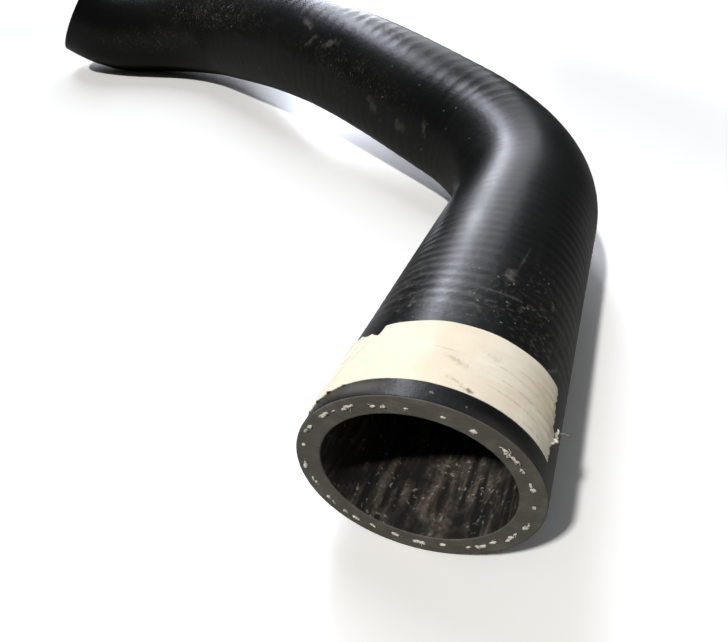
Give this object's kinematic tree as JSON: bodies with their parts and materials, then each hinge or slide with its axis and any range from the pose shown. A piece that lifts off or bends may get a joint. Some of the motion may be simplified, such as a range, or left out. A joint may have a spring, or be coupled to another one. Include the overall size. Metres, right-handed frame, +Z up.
{
  "type": "radiator hose",
  "caption": "Moulded rubber coolant hose with two bends, an arch between them, a raised far tip, an open bore, plain cut ends and a strip of paper tape round one end.",
  "frame": {"origin": "on the surface that the hose lies on, under the middle of the object's box", "axes": "-Y is the outward direction of the near end's cut face, +Z is up, and the middle leg runs towards -X"},
  "size_m": [0.2774, 0.2512, 0.0541],
  "materials": {
    "hose_rubber": "satin black moulded rubber with fine wrap rings, dust and scuffs",
    "paper_tape": "matt cream crepe paper tape, stained"
  },
  "bodies": {
    "root": {"hose_body": "hose_rubber", "tape_band": "paper_tape"}
  },
  "joints": []
}
